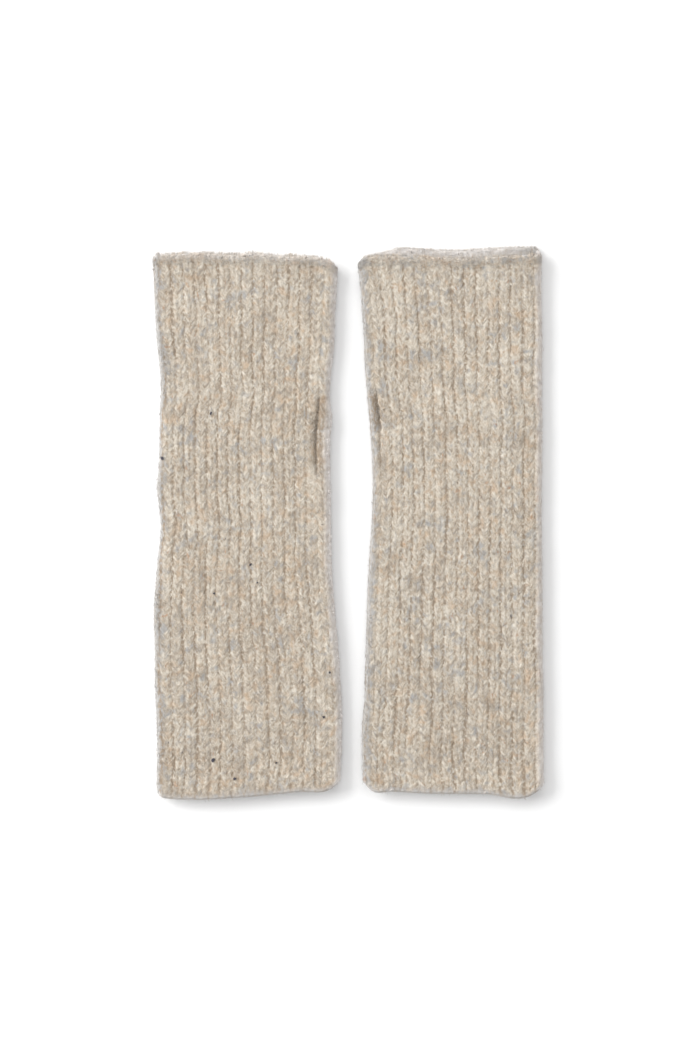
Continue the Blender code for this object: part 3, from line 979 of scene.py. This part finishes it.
def raise_nap(warmer, settings):
    """The nap: fibres that lie over the ribs, and shorter ones that stand out at the folds and the rims.

    A few dark specks, short fibres in a clump, lie on the upper layer where the table has them. Fibres that
    would bridge the open slit are left out.
    """
    rng = np.random.default_rng(warmer.seed + 80)
    low, high = ends_of(warmer)
    slit, felted = (warmer.slit_from, warmer.slit_to), (warmer.slit_from - 1, warmer.felted_to)
    body, band, whole = (low + 0.5, high - BAND), (high - BAND - 0.5, high - 1.0), (low, high)
    back, mouth, lining = (low + 1, high - 1), (high - 8, high - 0.5), (-WALL - 0.35, -WALL)
    hand, hand_below, arm = (high - 2.0, high - 0.9), (high - 1.5, high - 0.4), (low + 0.8, low + 2.2)
    on_top = [
        Patch(9.3, (0.0, 14.7), body, (0.05, 0.26), COMBED, (-0.12, 0.12), (0.8, 1.8), (0.09, 0.23)),
        Patch(1.2, (30.3, 32.0), body, (0.05, 0.26), COMBED, (-0.12, 0.12), (0.8, 1.8), (0.09, 0.23)),
        Patch(1.2, (0.0, 15.0), band, (0.1, 0.5), ANY_WAY, (-0.2, 0.25), (0.8, 2.0), (0.12, 0.3)),
        Patch(0.2, (30.0, 32.0), band, (0.0, 0.3), (-0.8, 0.8), (-0.05, 0.1), (1.4, 3.2), (0.08, 0.2)),
        Patch(2.0, (0.0, 14.7), body, (0.14, 0.3), ANY_WAY, (-0.03, 0.12), (1.6, 3.6), (0.06, 0.12)),
        Patch(1.5, (16.2, 30.0), back, (-0.1, 0.1), COMBED, (-0.1, 0.1), (1.5, 3.0), (0.08, 0.2)),
        Patch(1.3, (15.3, 31.3), mouth, lining, ANY_WAY, (-0.3, 0.05), (0.8, 2.0), (0.12, 0.26)),
        Patch(0.6, (-0.2, 0.1), slit, (-1.2, 0.05), (-1.2, 1.2), (-0.4, 0.1), (0.8, 2.0), (0.12, 0.28)),
        Patch(0.6, (-0.1, 0.2), slit, (-1.2, 0.05), (1.9, 4.3), (-0.4, 0.1), (0.8, 2.0), (0.12, 0.28)),
        Patch(0.5, (-0.2, 0.15), felted, (-0.15, 0.15), (-0.9, 0.9), (-0.1, 0.1), (0.8, 2.0), (0.12, 0.3)),
    ]
    at_edges = [
        Patch(1.0, (14.0, 15.9), whole, (-0.1, 0.3), ANY_WAY, (0.0, 0.6), (1.0, 2.6), (0.04, 0.08)),
        Patch(1.0, (30.1, 31.6), whole, (-0.1, 0.3), ANY_WAY, (0.0, 0.6), (1.0, 2.6), (0.04, 0.08)),
        Patch(1.4, (-1.0, 15.0), hand, (-1.7, -0.3), (0.3, 2.8), (-0.4, 0.15), (1.2, 3.6), (0.05, 0.1)),
        Patch(1.2, (15.0, 31.0), hand_below, (-2.3, -0.8), (0.3, 2.8), (-0.2, 0.2), (0.9, 2.8), (0.06, 0.13)),
        Patch(1.0, (0, RIBS_ROUND), arm, (-1.8, 0.1), (-2.8, -0.3), (-0.5, 0.3), (0.8, 2.0), (0.04, 0.08)),
    ]
    for kind, patches in (("nap", on_top), ("edge_nap", at_edges)):
        columns = []
        for patch in patches:
            count = int(settings.fibres * patch.share / SHARES)
            place, height, stand = (rng.uniform(*span, count) for span in patch[1:4])
            if patch.headings == COMBED:
                heading = settings.leg_lean + rng.normal(0, 0.6, count)
                heading = np.where(place % 1 > 0.5, heading, np.pi - heading)
                heading = heading + np.pi * rng.integers(0, 2, count)
            else:
                heading = rng.uniform(*patch.headings, count)
            rise, length, width = (rng.uniform(*span, count) for span in patch[5:])
            columns.append([place, height, stand, heading, rise, length, width, rng.uniform(0, 1, count)])
        if kind == "nap":
            columns.append(specks(warmer, rng))
        place, height, stand, *rest = (np.concatenate(values) for values in zip(*columns))
        place = place % RIBS_ROUND
        bridging = (from_seam(place) < 0.07) & (stand > 0.1) & (height > warmer.felted_to)
        bridging &= (height > warmer.slit_from - 1) & (height < warmer.slit_to + 1)
        roots = [values[~bridging] for values in (place, height, stand, *rest)]
        slivers(warmer, kind, roots, rib_relief(warmer, settings), rng)


def specks(warmer, rng):
    """Roots of the fibres of the dark specks: tufts, all of the darkest colour."""
    spots = [speck for speck in SPECKS if np.sign(speck.x) == outwards(warmer)]
    x, y, slant, size = np.repeat(np.reshape(spots, (-1, 4)), SPECK_FIBRES, axis=0).T
    thumb_x, width, inset = section_at(warmer, y)
    place = (np.abs(x - thumb_x) - inset) / way_round(width, FOLD_RADIUS) * RIBS_ROUND
    low, high = ends_of(warmer)
    arm_y, hand_y = (smooth_through(end, "x", "upper", x) for end in (warmer.arm_end, warmer.hand_end))
    height = low + (y - arm_y) / (hand_y - arm_y) * (high - low)
    count = len(x)
    slant = np.radians(slant)
    heading = (slant if outwards(warmer) > 0 else np.pi - slant) + rng.normal(0, 0.25, count)
    return [
        place + (rng.normal(0, 0.2, count) - 0.6 * np.cos(heading)) * size / RIB_PITCH,
        height + (rng.normal(0, 0.2, count) - 0.6 * np.sin(heading)) * size,
        rng.uniform(0.35, 0.6, count),
        heading,
        rng.uniform(-0.05, 0.1, count),
        rng.uniform(0.9, 1.6, count) * size,
        rng.uniform(0.5, 0.8, count) * size,
        np.ones(count),
    ]


# ---------------- settings


def number(name, description, default, **more):
    """A number that can be changed in the panel."""
    return FloatProperty(name=name, description=description, default=default, **more)


def length(name, description, default):
    """A length that can be changed in the panel."""
    return number(name, description, default, unit="LENGTH", precision=6)


def numbers(name, description, subtype, *default):
    """Two or three numbers of a kind that can be changed in the panel."""
    return FloatVectorProperty(
        name=name, description=description, subtype=subtype, size=len(default), default=default
    )


def colour(name, description, *default):
    """A colour that can be changed in the panel."""
    return numbers(name, description, "COLOR", *default)


class ArmWarmerKnit(PropertyGroup):
    """Sizes of the stitches and of the nap."""

    row_height: length("Row height", "From one row of stitches to the next", 0.0020)
    bed_height: length("Bed height", "How far the wall stands out under a rib", 0.00022)
    leg_length: length("Leg length", "Length of one leg of a stitch underneath", 0.0039)
    leg_width: length("Leg width", "Width of the yarn in such a leg", 0.0023)
    leg_thickness: length("Leg thickness", "Thickness of the yarn in such a leg", 0.0005)
    leg_relief: length("Leg relief", "How far the legs stand out of the knitted face", 0.000045)
    crease: length("Crease", "Depth of the crease between the legs", 0.00012)
    leg_lean: number("Leg lean", "Angle of a leg from the row", np.radians(52), subtype="ANGLE")
    unevenness: number("Unevenness", "How much the stitches underneath differ", 1.0, min=0, max=3)
    fibres: IntProperty(name="Fibres", description="Loose fibres in 20 shares", default=44500, min=100)


class ArmWarmerWool(PropertyGroup):
    """Colours of the fibres that the wool is blended from, and of the painted light and shade on it."""

    pale: colour("Pale", "The lightest fibres", 0.572, 0.53, 0.462)
    oat: colour("Oat", "Most of the fibres", 0.465, 0.41, 0.342)
    umber: colour("Umber", "Brown fibres", 0.34, 0.306, 0.265)
    slate: colour("Slate", "Grey fibres", 0.33, 0.33, 0.33)
    tan: colour("Tan", "Peach and tan fibres", 0.475, 0.34, 0.228)
    rust: colour("Rust", "Rare flecks", 0.40, 0.20, 0.10)
    ink: colour("Ink", "Rare dark flecks", 0.05, 0.05, 0.065)
    # Pale painted light along the fold in the shade, at the ends and inside the hand end.
    bloom: colour("Bloom", "Fluff along the folds and the ends", 0.70, 0.667, 0.645)
    # Painted shade in the furrows, along the creases and at the slit.
    furrow: colour("Furrow", "Wool down between the ribs", 0.268, 0.215, 0.163)
    sheen: number("Sheen", "Light caught by the nap", 0.25, min=0, max=1, subtype="FACTOR")
    sheen_tint: colour("Sheen tint", "Colour of that light", 0.92, 0.92, 1.0)


class ArmWarmerStage(PropertyGroup):
    """The floor, the lights and the camera."""

    floor: colour("Floor", "Colour of the floor", 0.85, 0.85, 0.85)
    floor_size: length("Floor size", "Side of the floor", 6.0)
    key: number("Key light", "Power of the light from the upper left", 348.0, unit="POWER")
    key_size: numbers("Key size", "Width and height of that light", "XYZ_LENGTH", 3.77, 3.25)
    fill: number("Fill light", "Power of the soft light from the top", 8.0, unit="POWER")
    sky: number("Sky", "Strength of the light from all round", 0.77)
    lens: number("Lens", "Focal length of the camera", 90.0, unit="CAMERA")
    view_height: length("View height", "Length that the camera takes in, at the cloth", 0.546)
    view_middle: numbers("View middle", "The point under the camera", "TRANSLATION", 0.0008, -0.0010)


# ---------------- operators

FLOOR_DROP = 0.0001  # how far the floor lies below the cloth
CLOTH_TOP = 0.004  # the level at which the camera takes in its view height
KEY_PLACE = (-3.43, 1.51, 1.18)
FILL_PLACE = (0.1, 1.5, 1.3)
FILL_SIZE = (1.4, 1.2)


class KnitWalls(Operator):
    """Makes the wall of each tube"""

    bl_idname = "arm_warmers.knit_walls"
    bl_label = "Knit the walls"

    def execute(self, context):
        for warmer in PAIR:
            knit_wall(warmer, context.scene.arm_warmer_knit)
        return {"FINISHED"}


class KnitRibs(Operator):
    """Covers each tube with its knitted face and with the stitches underneath"""

    bl_idname = "arm_warmers.knit_ribs"
    bl_label = "Knit the ribs"

    def execute(self, context):
        for warmer in PAIR:
            knit_face(warmer, context.scene.arm_warmer_knit)
            knit_underside(warmer, context.scene.arm_warmer_knit)
        return {"FINISHED"}


class ChainEdges(Operator):
    """Finishes both ends of each tube with chained edges"""

    bl_idname = "arm_warmers.chain_edges"
    bl_label = "Chain the edges"

    def execute(self, context):
        for warmer in PAIR:
            chain_edges(warmer)
        return {"FINISHED"}


class RaiseNap(Operator):
    """Raises the loose fibres of each tube"""

    bl_idname = "arm_warmers.raise_nap"
    bl_label = "Raise the nap"

    def execute(self, context):
        for warmer in PAIR:
            raise_nap(warmer, context.scene.arm_warmer_knit)
        return {"FINISHED"}


class DeclareCloth(Operator):
    """Works out the size that each tube's panel was knitted to, all round and along, and leaves it unused"""

    bl_idname = "arm_warmers.declare_cloth"
    bl_label = "Declare the cloth"

    def execute(self, context):
        for warmer in PAIR:
            low, high = ends_of(warmer)
            width = np.mean([abs(side.outer - side.thumb) for side in warmer.sides])
            flat = (way_round(width, FOLD_RADIUS) * MM, (high - low) * MM)
        return {"FINISHED"}


class SetStage(Operator):
    """Makes the floor, the lights and the camera"""

    bl_idname = "arm_warmers.set_stage"
    bl_label = "Set the stage"

    def execute(self, context):
        scene = context.scene
        stage = scene.arm_warmer_stage
        half = stage.floor_size / 2
        mesh = bpy.data.meshes.new("floor")
        corners = [(x * half, y * half, -FLOOR_DROP) for x, y in ((-1, -1), (1, -1), (1, 1), (-1, 1))]
        mesh.from_pydata(corners, [], [(0, 1, 2, 3)])
        floor = bpy.data.objects.new("floor", mesh)
        scene.collection.objects.link(floor)
        shader = Shader("pale_floor")
        matt = {"Base Color": (*stage.floor, 1.0), "Roughness": 1.0, "Specular IOR Level": 0.0}
        paint = shader.node("ShaderNodeBsdfPrincipled", {}, matt)
        shader.node("ShaderNodeOutputMaterial", {}, {0: paint})
        mesh.materials.append(shader.material)

        key = ("key", stage.key, stage.key_size, KEY_PLACE)
        fill = ("fill", stage.fill, FILL_SIZE, FILL_PLACE)
        for name, power, size, place in (key, fill):
            lamp = bpy.data.lights.new(name, "AREA")
            lamp.energy = power
            lamp.shape = "RECTANGLE"
            lamp.size, lamp.size_y = size
            light = bpy.data.objects.new(name, lamp)
            light.location = place
            light.rotation_euler = (-light.location).to_track_quat("-Z", "Y").to_euler()
            scene.collection.objects.link(light)

        world = bpy.data.worlds.new("studio")
        world.use_nodes = True
        sky = world.node_tree.nodes["Background"].inputs
        sky["Strength"].default_value = stage.sky
        sky["Color"].default_value = (1, 1, 1, 1)
        scene.world = world
        scene.view_settings.view_transform = "Standard"

        lens = bpy.data.cameras.new("camera")
        lens.lens = stage.lens
        lens.clip_start = 0.05
        camera = bpy.data.objects.new("camera", lens)
        distance = stage.view_height * stage.lens / lens.sensor_width
        camera.location = (*stage.view_middle, distance + CLOTH_TOP)
        scene.collection.objects.link(camera)
        scene.camera = camera
        return {"FINISHED"}


class ArmWarmerPanel(Panel):
    """Lists the settings and the steps of the arm warmers"""

    bl_idname = "VIEW3D_PT_arm_warmers"
    bl_label = "Arm warmers"
    bl_space_type = "VIEW_3D"
    bl_region_type = "UI"
    bl_category = "Arm warmers"

    def draw(self, context):
        for group, steps in STEPS:
            box = self.layout.box()
            settings = getattr(context.scene, group)
            for name in settings.__annotations__:
                box.prop(settings, name)
            for step in steps:
                box.operator(step.bl_idname)


STEPS = [
    ("arm_warmer_stage", [SetStage]),
    ("arm_warmer_wool", []),
    ("arm_warmer_knit", [KnitWalls, KnitRibs, ChainEdges, RaiseNap, DeclareCloth]),
]
SETTINGS = {
    "arm_warmer_knit": ArmWarmerKnit,
    "arm_warmer_wool": ArmWarmerWool,
    "arm_warmer_stage": ArmWarmerStage,
}
CLASSES = [*SETTINGS.values(), *(step for _, steps in STEPS for step in steps), ArmWarmerPanel]


def register():
    for kind in CLASSES:
        bpy.utils.register_class(kind)
    for name, kind in SETTINGS.items():
        setattr(bpy.types.Scene, name, PointerProperty(type=kind))


def unregister():
    for name in SETTINGS:
        delattr(bpy.types.Scene, name)
    for kind in reversed(CLASSES):
        bpy.utils.unregister_class(kind)


def main():
    """Makes the pair and its stage."""
    register()
    bpy.ops.arm_warmers.set_stage()
    bpy.ops.arm_warmers.knit_walls()
    bpy.ops.arm_warmers.knit_ribs()
    bpy.ops.arm_warmers.chain_edges()
    bpy.ops.arm_warmers.raise_nap()
    bpy.ops.arm_warmers.declare_cloth()


if __name__ == "__main__":
    main()
